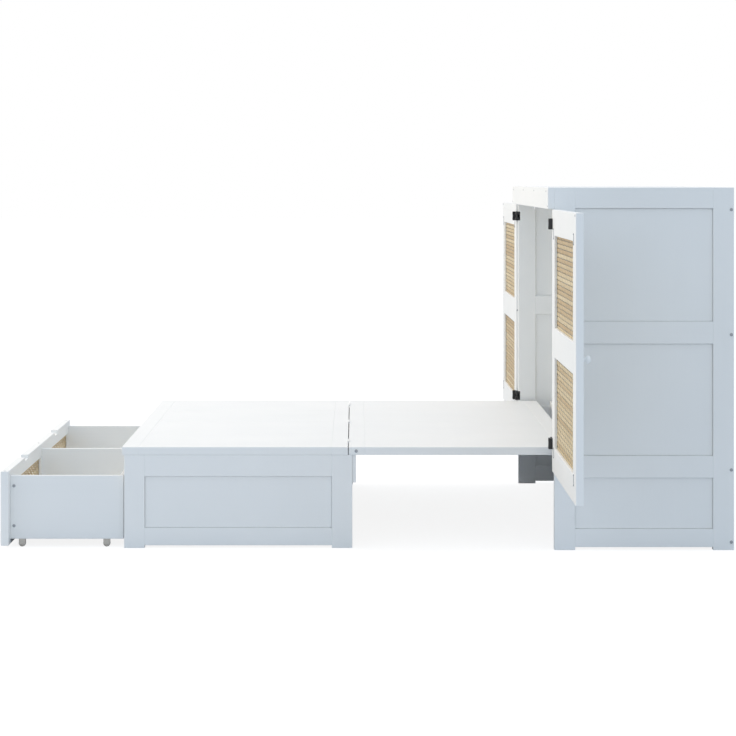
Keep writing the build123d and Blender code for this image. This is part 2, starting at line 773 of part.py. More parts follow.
with BuildPart() as drawer_bottom:
    board(floor_x, floor_y, floor_z, ease=0)
save(drawer_bottom.part, "drawer_bottom")

with BuildPart() as drawer_divider:
    divider_y = around(0, drawer_side_thickness)
    board((drawer_inner_x, drawer_back_x), divider_y, (floor_z[1], drawer_box_z[1]))
save(drawer_divider.part, "drawer_divider")

front_screw_x = drawer_front_x + drawer_front_thickness / 2
front_screw_y = drawer_front_y - front_screw_end_distance
side_bolt_x = drawer_inner_x + side_bolt_setback
side_bolt_zs = (drawer_box_z[0] + side_bolt_rise, drawer_box_z[1] - side_bolt_drop)
with BuildPart() as drawer_screws:
    for y in (-front_screw_y, 0, front_screw_y):
        rod((front_screw_x, y, drawer_front_top), (0, 0, 1), screw_head_radius, screw_head_height)
    for sign in sides.values():
        for z in side_bolt_zs:
            start = (side_bolt_x, sign * drawer_y, z)
            rod(start, (0, sign, 0), bolt_head_radius, side_bolt_height)
save(drawer_screws.part, "drawer_screws")

# Four fixed castors under the drawer's sides, each wheel on its own axle.
castor_xs = {
    "front": drawer_inner_x + castor_front_setback,
    "rear": drawer_rear_x - castor_rear_setback,
}
cheek_gap = wheel_width / 2 + knuckle_gap
castor_half = cheek_gap + castor_cheek_thickness
castor_y = drawer_y - castor_half - edge_ease
plate_z = (drawer_box_bottom - castor_plate_thickness, drawer_box_bottom)
cheek_z = (wheel_radius - 2 * axle_radius, plate_z[1])

with BuildPart() as castor_housings:
    for sign in sides.values():
        for x in castor_xs.values():
            span_x = around(x, castor_length)
            centre_y = sign * castor_y
            board(span_x, around(centre_y, 2 * castor_half), plate_z, ease=0)
            for cheek in (-1, 1):
                cheek_y = centre_y + cheek * (cheek_gap + castor_cheek_thickness / 2)
                board(span_x, around(cheek_y, castor_cheek_thickness), cheek_z, ease=0)
            rod((x, centre_y - castor_half, wheel_radius), (0, 1, 0), axle_radius, 2 * castor_half)
save(castor_housings.part, "castor_housings")

for side, sign in sides.items():
    for end, x in castor_xs.items():
        start = (x, sign * castor_y - wheel_width / 2, wheel_radius)
        with BuildPart() as castor_wheel:
            rod(start, (0, 1, 0), wheel_radius, wheel_width)
            fillet(edges().filter_by(GeomType.CIRCLE), edge_ease)
            rod(start, (0, 1, 0), axle_radius + running_gap, wheel_width, mode=Mode.SUBTRACT)
        save(castor_wheel.part, f"castor_wheel_{end}_{side}")
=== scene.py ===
"""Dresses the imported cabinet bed: white satin paint, woven rattan, black and zinc-plated hardware.

Metres, in the same frame as the model: +X to the cabinet, -X to the drawer, -Y to the camera.
The file follows the bed as it is put together, from the cabinet to the drawer's castors.
"""

import math

import bmesh
import bpy
from mathutils import Matrix, Vector


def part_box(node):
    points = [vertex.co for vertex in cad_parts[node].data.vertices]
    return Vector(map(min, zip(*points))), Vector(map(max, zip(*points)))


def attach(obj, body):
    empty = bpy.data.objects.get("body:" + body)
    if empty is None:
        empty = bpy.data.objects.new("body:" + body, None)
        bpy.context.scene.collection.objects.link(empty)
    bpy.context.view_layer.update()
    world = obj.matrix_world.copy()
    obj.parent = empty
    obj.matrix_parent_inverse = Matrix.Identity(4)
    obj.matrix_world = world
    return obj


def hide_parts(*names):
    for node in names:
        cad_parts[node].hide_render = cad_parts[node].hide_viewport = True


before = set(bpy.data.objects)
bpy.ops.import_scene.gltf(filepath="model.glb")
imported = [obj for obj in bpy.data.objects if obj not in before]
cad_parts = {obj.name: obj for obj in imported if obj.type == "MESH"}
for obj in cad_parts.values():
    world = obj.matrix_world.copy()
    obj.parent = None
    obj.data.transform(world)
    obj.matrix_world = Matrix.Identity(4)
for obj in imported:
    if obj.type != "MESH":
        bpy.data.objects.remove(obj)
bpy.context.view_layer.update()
sides = {"right": -1, "left": 1}


# Photographer's set: a level camera far to the bed's right side, whose view is shifted down and not
# tilted, so that upright edges stay upright. A big soft lamp stands beyond the foot end, a weaker one
# overhead, and a cool sky fills the shadows. Floor and background show as white.
camera_place = Vector((-0.039, -8.082, 1.240))
image_width = 736
focal_pixels = 2170
vanishing_point = (355, 180)
sensor_width = 36.0


def linear(hex_colour):
    """An sRGB hex colour as linear RGBA."""
    channels = [int(hex_colour[i : i + 2], 16) / 255 for i in (1, 3, 5)]
    return [c / 12.92 if c <= 0.04045 else ((c + 0.055) / 1.055) ** 2.4 for c in channels] + [1.0]


def add_node(tree, kind, inputs=None, **settings):
    """A new node with its settings. Its inputs take plain values or other nodes' outputs."""
    node = tree.nodes.new(kind)
    for name, value in settings.items():
        setattr(node, name, value)
    for key, source in (inputs or {}).items():
        if isinstance(source, bpy.types.NodeSocket):
            tree.links.new(source, node.inputs[key])
        else:
            node.inputs[key].default_value = source
    return node


camera_data = bpy.data.cameras.new("camera")
camera_data.sensor_width = sensor_width
camera_data.lens = sensor_width * focal_pixels / image_width
camera_data.shift_x = (image_width / 2 - vanishing_point[0]) / image_width
camera_data.shift_y = (vanishing_point[1] - image_width / 2) / image_width
camera_data.clip_end = 200.0
camera = bpy.data.objects.new("camera", camera_data)
camera.location = camera_place
camera.rotation_euler = (math.pi / 2, 0.0, 0.0)
bpy.context.scene.collection.objects.link(camera)
bpy.context.scene.camera = camera
bpy.context.scene.view_settings.view_transform = "Standard"

world = bpy.data.worlds.new("studio")
bpy.context.scene.world = world
world.use_nodes = True
tree = world.node_tree
tree.nodes.clear()
ray = add_node(tree, "ShaderNodeLightPath")
seen = add_node(
    tree, "ShaderNodeMath", {0: ray.outputs["Is Camera Ray"], 1: ray.outputs["Is Glossy Ray"]}
)
seen = add_node(
    tree, "ShaderNodeMath", {0: seen.outputs[0], 1: ray.outputs["Is Transmission Ray"]}, use_clamp=True
)
sky = add_node(tree, "ShaderNodeBackground", {"Color": linear("#e7f3ff"), "Strength": 0.90})
white = add_node(tree, "ShaderNodeBackground", {"Color": linear("#ffffff"), "Strength": 1.0})
background = add_node(
    tree, "ShaderNodeMixShader", {0: seen.outputs[0], 1: sky.outputs[0], 2: white.outputs[0]}
)
add_node(tree, "ShaderNodeOutputWorld", {"Surface": background.outputs[0]})

lamps = {
    "foot_lamp": {
        "place": (-6.5, 0.6, 3.2),
        "target": (0.0, 0.3, 0.4),
        "size": 3.5,
        "power": 202.0,
        "tint": "#ffe7c0",
    },
    "top_lamp": {
        "place": (-0.8, 0.8, 6.0),
        "target": (0.0, 0.2, 0.0),
        "size": 4.5,
        "power": 60.0,
        "tint": "#ffe6dc",
    },
}
for name, lamp in lamps.items():
    lamp_data = bpy.data.lights.new(name, "AREA")
    lamp_data.shape = "DISK"
    lamp_data.size = lamp["size"]
    lamp_data.energy = lamp["power"]
    lamp_data.color = linear(lamp["tint"])[:3]
    lamp_object = bpy.data.objects.new(name, lamp_data)
    lamp_object.location = lamp["place"]
    aim = Vector(lamp["target"]) - Vector(lamp["place"])
    lamp_object.rotation_euler = aim.to_track_quat("-Z", "Y").to_euler()
    bpy.context.scene.collection.objects.link(lamp_object)

floor_half = 60.0
floor_mesh = bpy.data.meshes.new("floor")
corners = [(floor_half * x, floor_half * y, 0.0) for x, y in ((-1, -1), (1, -1), (1, 1), (-1, 1))]
floor_mesh.from_pydata(corners, [], [(0, 1, 2, 3)])
floor = bpy.data.objects.new("floor", floor_mesh)
bpy.context.scene.collection.objects.link(floor)

# White paper sweep: it bounces light like paper, and to the eye it is lifted to white, so that only
# the bed's own soft shadow shows on it.
floor_material = bpy.data.materials.new("white_paper_sweep")
floor_material.use_nodes = True
tree = floor_material.node_tree
tree.nodes.clear()
ray = add_node(tree, "ShaderNodeLightPath")
paper = add_node(tree, "ShaderNodeBsdfDiffuse", {"Color": linear("#d6dae0")})
seen_paper = add_node(tree, "ShaderNodeBsdfDiffuse", {"Color": linear("#818181")})
lift = add_node(tree, "ShaderNodeEmission", {"Color": linear("#ffffff"), "Strength": 0.87})
lifted = add_node(tree, "ShaderNodeAddShader", {0: seen_paper.outputs[0], 1: lift.outputs[0]})
surface = add_node(
    tree,
    "ShaderNodeMixShader",
    {0: ray.outputs["Is Camera Ray"], 1: paper.outputs[0], 2: lifted.outputs[0]},
)
add_node(tree, "ShaderNodeOutputMaterial", {"Surface": surface.outputs[0]})
floor_mesh.materials.append(floor_material)


# Cabinet sides: frames of pine posts and rails with thin panels in grooves. All of it is sprayed
# white after sanding, so the finish is smooth and only a breath of the grain shows through it.
def satin_paint(grain_axis):
    """Sprayed satin paint over sanded pine, whose grain runs along x, y or z.

    To the eye: even white, a soft broad sheen, faint ridges along the board, and a slight ripple
    like orange peel that breaks up the sheen.
    """
    material = bpy.data.materials.new(f"satin_white_paint_grain_{grain_axis}")
    material.use_nodes = True
    tree = material.node_tree
    tree.nodes.clear()
    along, across = 2.5, 190.0
    stretch = {"x": (along, across, across), "y": (across, along, across), "z": (across, across, along)}
    place = add_node(tree, "ShaderNodeTexCoord")
    stretched = add_node(
        tree, "ShaderNodeMapping", {"Vector": place.outputs["Object"], "Scale": stretch[grain_axis]}
    )
    grain = add_node(
        tree,
        "ShaderNodeTexNoise",
        {"Vector": stretched.outputs[0], "Scale": 1.0, "Detail": 3.0, "Roughness": 0.55},
    )
    peel = add_node(
        tree, "ShaderNodeTexNoise", {"Vector": place.outputs["Object"], "Scale": 320.0, "Detail": 2.0}
    )
    cloud = add_node(
        tree, "ShaderNodeTexNoise", {"Vector": place.outputs["Object"], "Scale": 3.0, "Detail": 2.0}
    )
    tone = add_node(
        tree,
        "ShaderNodeMix",
        {"Factor": cloud.outputs["Fac"], 6: linear("#eceeee"), 7: linear("#f4f5f4")},
        data_type="RGBA",
    )
    grained = add_node(
        tree,
        "ShaderNodeMapRange",
        {
            "Value": grain.outputs["Fac"],
            "From Min": 0.25,
            "From Max": 0.75,
            "To Min": 0.992,
            "To Max": 1.0,
        },
    )
    colour = add_node(
        tree,
        "ShaderNodeMix",
        {"Factor": 1.0, 6: tone.outputs[2], 7: grained.outputs[0]},
        data_type="RGBA",
        blend_type="MULTIPLY",
    )
    roughness = add_node(
        tree,
        "ShaderNodeMapRange",
        {"Value": peel.outputs["Fac"], "From Min": 0.3, "From Max": 0.7, "To Min": 0.40, "To Max": 0.54},
    )
    grain_bump = add_node(
        tree, "ShaderNodeBump", {"Height": grain.outputs["Fac"], "Strength": 0.07, "Distance": 0.0002}
    )
    peel_bump = add_node(
        tree,
        "ShaderNodeBump",
        {
            "Height": peel.outputs["Fac"],
            "Strength": 0.12,
            "Distance": 0.0001,
            "Normal": grain_bump.outputs[0],
        },
    )
    paint = add_node(
        tree,
        "ShaderNodeBsdfPrincipled",
        {
            "Base Color": colour.outputs[2],
            "Roughness": roughness.outputs[0],
            "Normal": peel_bump.outputs[0],
            "IOR": 1.48,
        },
    )
    add_node(tree, "ShaderNodeOutputMaterial", {"Surface": paint.outputs[0]})
    return material


def dress(material, *names):
    """Gives the model's own pieces their material."""
    for name in names:
        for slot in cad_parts[name].material_slots:
            slot.material = material


paint_x, paint_y, paint_z = (satin_paint(axis) for axis in "xyz")
for side in sides:
    dress(paint_z, f"cabinet_posts_{side}", f"cabinet_side_panels_{side}")
    dress(paint_x, f"cabinet_side_rails_{side}")


# Cabinet top, the deep apron under its front edge, and the back of rails and thin panels. Pine,
# sprayed white, with the boards' grain across the bed and the back panels' grain upright.
dress(paint_y, "cabinet_top_board", "front_apron", "cabinet_back_rails")
dress(paint_z, "cabinet_back_panels")


# Inner platform: four separate boards across the bed, on a front rail and three cleats, level with
# the deck. Pine, sprayed white like the cabinet round it.
dress(paint_y, "inner_platform_boards", "inner_platform_front_rail")
dress(paint_x, "inner_platform_cleats")


# Bolts down the cabinet's rear posts and at the deck's seam: button heads with a hexagon socket,
# zinc plated, which shows as a dull blue-grey dot with a dark middle.
zinc_plate = bpy.data.materials.new("zinc_plated_steel")
zinc_plate.use_nodes = True
tree = zinc_plate.node_tree
tree.nodes.clear()
place = add_node(tree, "ShaderNodeTexCoord")
spangle = add_node(
    tree,
    "ShaderNodeTexVoronoi",
    {"Vector": place.outputs["Object"], "Scale": 900.0},
    feature="SMOOTH_F1",
)
zinc_tone = add_node(
    tree,
    "ShaderNodeMix",
    {"Factor": spangle.outputs["Distance"], 6: linear("#9aa0a6"), 7: linear("#b9bec3")},
    data_type="RGBA",
)
zinc_roughness = add_node(
    tree, "ShaderNodeMapRange", {"Value": spangle.outputs["Distance"], "To Min": 0.30, "To Max": 0.48}
)
zinc = add_node(
    tree,
    "ShaderNodeBsdfPrincipled",
    {"Base Color": zinc_tone.outputs[2], "Metallic": 1.0, "Roughness": zinc_roughness.outputs[0]},
)
add_node(tree, "ShaderNodeOutputMaterial", {"Surface": zinc.outputs[0]})


def screw_head(radius, height, recess):
    """A button head on the plane z = 0, with a recess of the given outline (fractions of radius)."""
    steps = 20
    recess_taper, recess_floor = 0.85, 0.35
    rings = [(1.0, 0.0), (1.0, 0.35), (0.90, 0.75), (0.72, 1.0)]
    shape = bmesh.new()
    loops = []
    for share, rise in rings:
        loop = []
        for step in range(steps):
            turn = 2 * math.pi * step / steps
            x, y = radius * share * math.cos(turn), radius * share * math.sin(turn)
            loop.append(shape.verts.new((x, y, height * rise)))
        loops.append(loop)
    for low, high in zip(loops, loops[1:]):
        for step in range(steps):
            follow = (step + 1) % steps
            shape.faces.new((low[step], low[follow], high[follow], high[step]))
    shape.faces.new(reversed(loops[0]))
    rim = [shape.verts.new((radius * x, radius * y, height)) for x, y in recess]
    floor_rim = [
        shape.verts.new((radius * x * recess_taper, radius * y * recess_taper, height * recess_floor))
        for x, y in recess
    ]
    crown = loops[-1]
    top_edges = [shape.edges.get((crown[step], crown[(step + 1) % steps])) for step in range(steps)]
    count = len(recess)
    top_edges += [shape.edges.new((rim[step], rim[(step + 1) % count])) for step in range(count)]
    bmesh.ops.triangle_fill(shape, edges=top_edges, use_beauty=True)
    for step in range(count):
        follow = (step + 1) % count
        shape.faces.new((rim[step], rim[follow], floor_rim[follow], floor_rim[step]))
    shape.faces.new(floor_rim)
    bmesh.ops.recalc_face_normals(shape, faces=shape.faces)
    mesh = bpy.data.meshes.new("screw_head")
    shape.to_mesh(mesh)
    shape.free()
    return mesh


def scatter_tree():
    """Geometry Nodes: one head on every point, at the point's own size and direction, and spun."""
    tree = bpy.data.node_groups.new("scatter_heads", "GeometryNodeTree")
    tree.interface.new_socket("Geometry", in_out="INPUT", socket_type="NodeSocketGeometry")
    tree.interface.new_socket("Head", in_out="INPUT", socket_type="NodeSocketObject")
    tree.interface.new_socket("Finish", in_out="INPUT", socket_type="NodeSocketMaterial")
    tree.interface.new_socket("Seed", in_out="INPUT", socket_type="NodeSocketInt")
    tree.interface.new_socket("Geometry", in_out="OUTPUT", socket_type="NodeSocketGeometry")
    given = add_node(tree, "NodeGroupInput")
    facing = add_node(
        tree, "GeometryNodeInputNamedAttribute", {"Name": "facing"}, data_type="FLOAT_VECTOR"
    )
    aligned = add_node(
        tree, "FunctionNodeAlignRotationToVector", {"Vector": facing.outputs["Attribute"]}, axis="Z"
    )
    spin = add_node(
        tree, "FunctionNodeRandomValue", {2: 0.0, 3: 2 * math.pi, "Seed": given.outputs["Seed"]}
    )
    spun = add_node(
        tree, "FunctionNodeAxisAngleToRotation", {"Axis": (0, 0, 1), "Angle": spin.outputs[1]}
    )
    turned = add_node(
        tree,
        "FunctionNodeRotateRotation",
        {"Rotation": aligned.outputs[0], "Rotate By": spun.outputs[0]},
        rotation_space="LOCAL",
    )
    size = add_node(tree, "GeometryNodeInputNamedAttribute", {"Name": "size"}, data_type="FLOAT")
    head = add_node(tree, "GeometryNodeObjectInfo", {"Object": given.outputs["Head"]})
    points = add_node(tree, "GeometryNodeMeshToPoints", {"Mesh": given.outputs["Geometry"]})
    placed = add_node(
        tree,
        "GeometryNodeInstanceOnPoints",
        {
            "Points": points.outputs[0],
            "Instance": head.outputs["Geometry"],
            "Rotation": turned.outputs[0],
            "Scale": size.outputs["Attribute"],
        },
    )
    real = add_node(tree, "GeometryNodeRealizeInstances", {"Geometry": placed.outputs[0]})
    finished = add_node(
        tree,
        "GeometryNodeSetMaterial",
        {"Geometry": real.outputs[0], "Material": given.outputs["Finish"]},
    )
    add_node(tree, "NodeGroupOutput", {0: finished.outputs[0]})
    return tree


def grown(name, base, tree, values):
    """The plain mesh object that a Geometry Nodes tree grows from a base mesh."""
    piece = bpy.data.objects.new(name, base)
    bpy.context.scene.collection.objects.link(piece)
    modifier = piece.modifiers.new("grow", "NODES")
    modifier.node_group = tree
    sockets = [item for item in tree.interface.items_tree if item.in_out == "INPUT"]
    identifiers = {item.name: item.identifier for item in sockets}
    for socket, value in values.items():
        modifier[identifiers[socket]] = value
    graph = bpy.context.evaluated_depsgraph_get()
    mesh = bpy.data.meshes.new_from_object(piece.evaluated_get(graph))
    piece.modifiers.clear()
    piece.data = mesh
    mesh.name = name
    return piece


head_tree = scatter_tree()
hex_recess = [(0.5 * math.cos(k * math.pi / 3), 0.5 * math.sin(k * math.pi / 3)) for k in range(6)]
slot_half, slot_reach = 0.13, 0.55
quarter = [(slot_reach, -slot_half), (slot_reach, slot_half), (slot_half, slot_half)]
cross_recess = []
for k in range(4):
    cosine, sine = math.cos(k * math.pi / 2), math.sin(k * math.pi / 2)
    cross_recess += [(x * cosine - y * sine, x * sine + y * cosine) for x, y in quarter]


def screws(name, body, places, radius, height, recess, finish=zinc_plate, seed=1):
    """One piece of screw heads.

    Each place is (point on the surface, outward direction), and may have a third value, by which
    that head is scaled.
    """
    base = bpy.data.meshes.new(name)
    base.from_pydata([place[0] for place in places], [], [])
    base.attributes.new("facing", "FLOAT_VECTOR", "POINT")
    base.attributes.new("size", "FLOAT", "POINT")
    for index, (_, direction, *size) in enumerate(places):
        base.attributes["facing"].data[index].vector = direction
        base.attributes["size"].data[index].value = size[0] if size else 1.0
    head = bpy.data.objects.new("head_pattern", screw_head(radius, height, recess))
    bpy.context.scene.collection.objects.link(head)
    piece = grown(name, base, head_tree, {"Head": head, "Finish": finish, "Seed": seed})
    bpy.data.objects.remove(head)
    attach(piece, body)
    return piece


bolt_radius, bolt_height = 0.0055, 0.0025
cabinet_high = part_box("cabinet_bolts")[1]
bolt_x = cabinet_high.x - bolt_radius
bolt_zs = (0.027, 0.269, 0.722, 1.141)
bolt_face = cabinet_high.y - bolt_height
bolt_places = [((bolt_x, sign * bolt_face, z), (0, sign, 0)) for sign in sides.values() for z in bolt_zs]
bolts = screws("cabinet_bolt_heads", "cabinet", bolt_places, bolt_radius, bolt_height, hex_recess)
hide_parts("cabinet_bolts")

deck_bolt_low, deck_bolt_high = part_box("middle_platform_bolts")
deck_bolt_middle = (deck_bolt_low + deck_bolt_high) / 2
deck_bolt_face = deck_bolt_high.y - bolt_height
deck_bolt_places = [
    ((deck_bolt_middle.x, sign * deck_bolt_face, deck_bolt_middle.z), (0, sign, 0))
    for sign in sides.values()
]
deck_bolts = screws(
    "deck_bolt_heads", "middle_platform", deck_bolt_places, bolt_radius, bolt_height, hex_recess
)
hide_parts("middle_platform_bolts")


# Screws along the apron, four under its top edge and one in each low corner: cross-recessed pan
# heads, zinc plated, that pull the apron onto the top board and the posts.
screw_radius, screw_height = 0.003, 0.001
apron_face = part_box("front_apron")[0].x
apron_low, apron_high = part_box("apron_screws")
top_row_z = apron_high.z - screw_radius
corner_z = apron_low.z + screw_radius
corner_y = apron_high.y - screw_radius
top_row_ys = (-0.744, -0.248, 0.248, 0.744)
apron_places = [((apron_face, y, top_row_z), (-1, 0, 0)) for y in top_row_ys]
apron_places += [((apron_face, sign * corner_y, corner_z), (-1, 0, 0)) for sign in sides.values()]
apron_heads = screws(
    "apron_screw_heads", "cabinet", apron_places, screw_radius, screw_height, cross_recess
)
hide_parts("apron_screws")


# Door frames: two stiles and three rails each, pine, sprayed like the cabinet. At rest the doors
# stand right back on their hinges, with their inner faces towards the foot end.
for side in sides:
    dress(paint_z, f"door_stiles_{side}")
    dress(paint_y, f"door_rails_{side}")


# Woven rattan of the doors and the drawer front: flat weavers of split cane run across the panel, and
# pass before and behind upright stakes in turn. Its edges are trapped in the frames' grooves.
rattan = bpy.data.materials.new("natural_rattan_weave")
rattan.use_nodes = True
tree = rattan.node_tree
tree.nodes.clear()
place = add_node(tree, "ShaderNodeTexCoord")
strand_tone = add_node(tree, "ShaderNodeAttribute", attribute_name="strand_tone")
# Each strand has its own tone of straw, from tan to pale cream, with dull fibres along it.
strand_colour = add_node(tree, "ShaderNodeValToRGB", {"Fac": strand_tone.outputs["Fac"]})
ramp = strand_colour.color_ramp
ramp.elements[0].position, ramp.elements[0].color = 0.0, linear("#c7ad84")
ramp.elements[1].position, ramp.elements[1].color = 1.0, linear("#e6d6b2")
middle = ramp.elements.new(0.5)
middle.color = linear("#d8c39b")
fibre_place = add_node(
    tree, "ShaderNodeMapping", {"Vector": place.outputs["Object"], "Scale": (900.0, 40.0, 900.0)}
)
fibre = add_node(
    tree, "ShaderNodeTexNoise", {"Vector": fibre_place.outputs[0], "Scale": 1.0, "Detail": 3.0}
)
stain = add_node(
    tree, "ShaderNodeTexNoise", {"Vector": place.outputs["Object"], "Scale": 45.0, "Detail": 2.0}
)
fibre_shade = add_node(
    tree,
    "ShaderNodeMapRange",
    {"Value": fibre.outputs["Fac"], "From Min": 0.3, "From Max": 0.7, "To Min": 0.80, "To Max": 1.08},
)
stain_shade = add_node(
    tree,
    "ShaderNodeMapRange",
    {"Value": stain.outputs["Fac"], "From Min": 0.3, "From Max": 0.7, "To Min": 0.90, "To Max": 1.06},
)
shade = add_node(
    tree, "ShaderNodeMath", {0: fibre_shade.outputs[0], 1: stain_shade.outputs[0]}, operation="MULTIPLY"
)
# Painted shade: strands darken towards their edges, as shade in the crease between neighbours.
strand_edge = add_node(tree, "ShaderNodeAttribute", attribute_name="strand_edge")
painted_crease_shade = add_node(
    tree,
    "ShaderNodeMapRange",
    {
        "Value": strand_edge.outputs["Fac"],
        "From Min": 0.72,
        "From Max": 1.0,
        "To Min": 1.0,
        "To Max": 0.42,
    },
)
tone_and_crease_shade = add_node(
    tree, "ShaderNodeMath", {0: shade.outputs[0], 1: painted_crease_shade.outputs[0]}, operation="MULTIPLY"
)
rattan_colour = add_node(
    tree,
    "ShaderNodeMix",
    {"Factor": 1.0, 6: strand_colour.outputs[0], 7: tone_and_crease_shade.outputs[0]},
    data_type="RGBA",
    blend_type="MULTIPLY",
)
fibre_bump = add_node(
    tree, "ShaderNodeBump", {"Height": fibre.outputs["Fac"], "Strength": 0.5, "Distance": 0.0002}
)
cane = add_node(
    tree,
    "ShaderNodeBsdfPrincipled",
    {
        "Base Color": rattan_colour.outputs[2],
        "Roughness": 0.50,
        "Normal": fibre_bump.outputs[0],
        "IOR": 1.45,
    },
)
add_node(tree, "ShaderNodeOutputMaterial", {"Surface": cane.outputs[0]})


def weave_tree():
    """Geometry Nodes: weavers along Y and stakes along Z, about each point of the base mesh."""
    tree = bpy.data.node_groups.new("plain_weave", "GeometryNodeTree")
    tree.interface.new_socket("Geometry", in_out="INPUT", socket_type="NodeSocketGeometry")
    spacings = ("Width", "Height", "Weaver pitch", "Stake pitch")
    sections = ("Weaver width", "Weaver thickness", "Stake radius")
    for name in spacings + sections:
        tree.interface.new_socket(name, in_out="INPUT", socket_type="NodeSocketFloat")
    tree.interface.new_socket("Finish", in_out="INPUT", socket_type="NodeSocketMaterial")
    tree.interface.new_socket("Seed", in_out="INPUT", socket_type="NodeSocketInt")
    tree.interface.new_socket("Geometry", in_out="OUTPUT", socket_type="NodeSocketGeometry")
    given = add_node(tree, "NodeGroupInput")
    stray_reach, stake_tone = 0.0016, 0.25

    def math_node(operation, first, second=0.0):
        return add_node(tree, "ShaderNodeMath", {0: first, 1: second}, operation=operation).outputs[0]

    def vector(x=0.0, y=0.0, z=0.0):
        return add_node(tree, "ShaderNodeCombineXYZ", {0: x, 1: y, 2: z}).outputs[0]

    half_width = math_node("MULTIPLY", given.outputs["Width"], 0.5)
    half_height = math_node("MULTIPLY", given.outputs["Height"], 0.5)
    minus_half_width = math_node("MULTIPLY", given.outputs["Width"], -0.5)
    minus_half_height = math_node("MULTIPLY", given.outputs["Height"], -0.5)

    # Weavers: a line across the panel with four points to each stake, once for every row.
    rows_in_height = math_node("DIVIDE", given.outputs["Height"], given.outputs["Weaver pitch"])
    rows = math_node("ROUND", rows_in_height)
    row_pitch = math_node("DIVIDE", given.outputs["Height"], rows)
    first_row = math_node("ADD", minus_half_height, math_node("MULTIPLY", row_pitch, 0.5))
    across = add_node(
        tree,
        "GeometryNodeCurvePrimitiveLine",
        {"Start": vector(y=minus_half_width), "End": vector(y=half_width)},
    )
    quarter_stake = math_node("MULTIPLY", given.outputs["Stake pitch"], 0.25)
    finely = add_node(
        tree,
        "GeometryNodeResampleCurve",
        {"Curve": across.outputs[0], "Length": quarter_stake},
        mode="LENGTH",
    )
    row_points = add_node(
        tree,
        "GeometryNodeMeshLine",
        {"Count": rows, "Start Location": vector(z=first_row), "Offset": vector(z=row_pitch)},
    )
    row_lines = add_node(
        tree,
        "GeometryNodeInstanceOnPoints",
        {"Points": row_points.outputs[0], "Instance": finely.outputs[0]},
    )
    index = add_node(tree, "GeometryNodeInputIndex")
    numbered = add_node(
        tree,
        "GeometryNodeStoreNamedAttribute",
        {"Geometry": row_lines.outputs[0], "Name": "row", "Value": index.outputs[0]},
        data_type="FLOAT",
        domain="INSTANCE",
    )
    any_tone = add_node(tree, "FunctionNodeRandomValue", {2: 0.0, 3: 1.0, "Seed": given.outputs["Seed"]})
    toned = add_node(
        tree,
        "GeometryNodeStoreNamedAttribute",
        {"Geometry": numbered.outputs[0], "Name": "strand_tone", "Value": any_tone.outputs[1]},
        data_type="FLOAT",
        domain="INSTANCE",
    )
    row_curves = add_node(tree, "GeometryNodeRealizeInstances", {"Geometry": toned.outputs[0]})
    row = add_node(tree, "GeometryNodeInputNamedAttribute", {"Name": "row"}, data_type="FLOAT")
    position = add_node(tree, "GeometryNodeInputPosition")
    parts = add_node(tree, "ShaderNodeSeparateXYZ", {0: position.outputs[0]})
    stakes_passed = math_node("DIVIDE", parts.outputs["Y"], given.outputs["Stake pitch"])
    phase = math_node("MULTIPLY", math_node("ADD", stakes_passed, row.outputs["Attribute"]), math.pi)
    half_thickness = math_node("MULTIPLY", given.outputs["Weaver thickness"], 0.5)
    swing = math_node("ADD", given.outputs["Stake radius"], half_thickness)
    wander = add_node(
        tree, "ShaderNodeTexNoise", {"Vector": position.outputs[0], "Scale": 38.0, "Detail": 1.0}
    )
    stray = math_node("MULTIPLY", math_node("SUBTRACT", wander.outputs["Fac"], 0.5), stray_reach)
    woven = add_node(
        tree,
        "GeometryNodeSetPosition",
        {
            "Geometry": row_curves.outputs[0],
            "Offset": vector(x=math_node("MULTIPLY", math_node("COSINE", phase), swing), z=stray),
        },
    )
    upright = add_node(tree, "GeometryNodeSetCurveNormal", {"Curve": woven.outputs[0]}, mode="Z_UP")
    oval = add_node(tree, "GeometryNodeCurvePrimitiveCircle", {"Resolution": 8, "Radius": 0.5})
    # Mask for painted shade: each profile point keeps its distance from the strand's middle, which the
    # rattan darkens as crease shade.
    oval_position = add_node(tree, "GeometryNodeInputPosition")
    oval_parts = add_node(tree, "ShaderNodeSeparateXYZ", {0: oval_position.outputs[0]})
    from_middle = math_node("ABSOLUTE", math_node("MULTIPLY", oval_parts.outputs["Y"], 2.0))
    crease_shade_marked = add_node(
        tree,
        "GeometryNodeStoreNamedAttribute",
        {"Geometry": oval.outputs[0], "Name": "strand_edge", "Value": from_middle},
        data_type="FLOAT",
        domain="POINT",
    )
    flattened = add_node(
        tree,
        "GeometryNodeTransform",
        {
            "Geometry": crease_shade_marked.outputs[0],
            "Scale": vector(given.outputs["Weaver thickness"], given.outputs["Weaver width"], 1.0),
        },
    )
    weavers = add_node(
        tree,
        "GeometryNodeCurveToMesh",
        {"Curve": upright.outputs[0], "Profile Curve": flattened.outputs[0], "Fill Caps": True},
    )

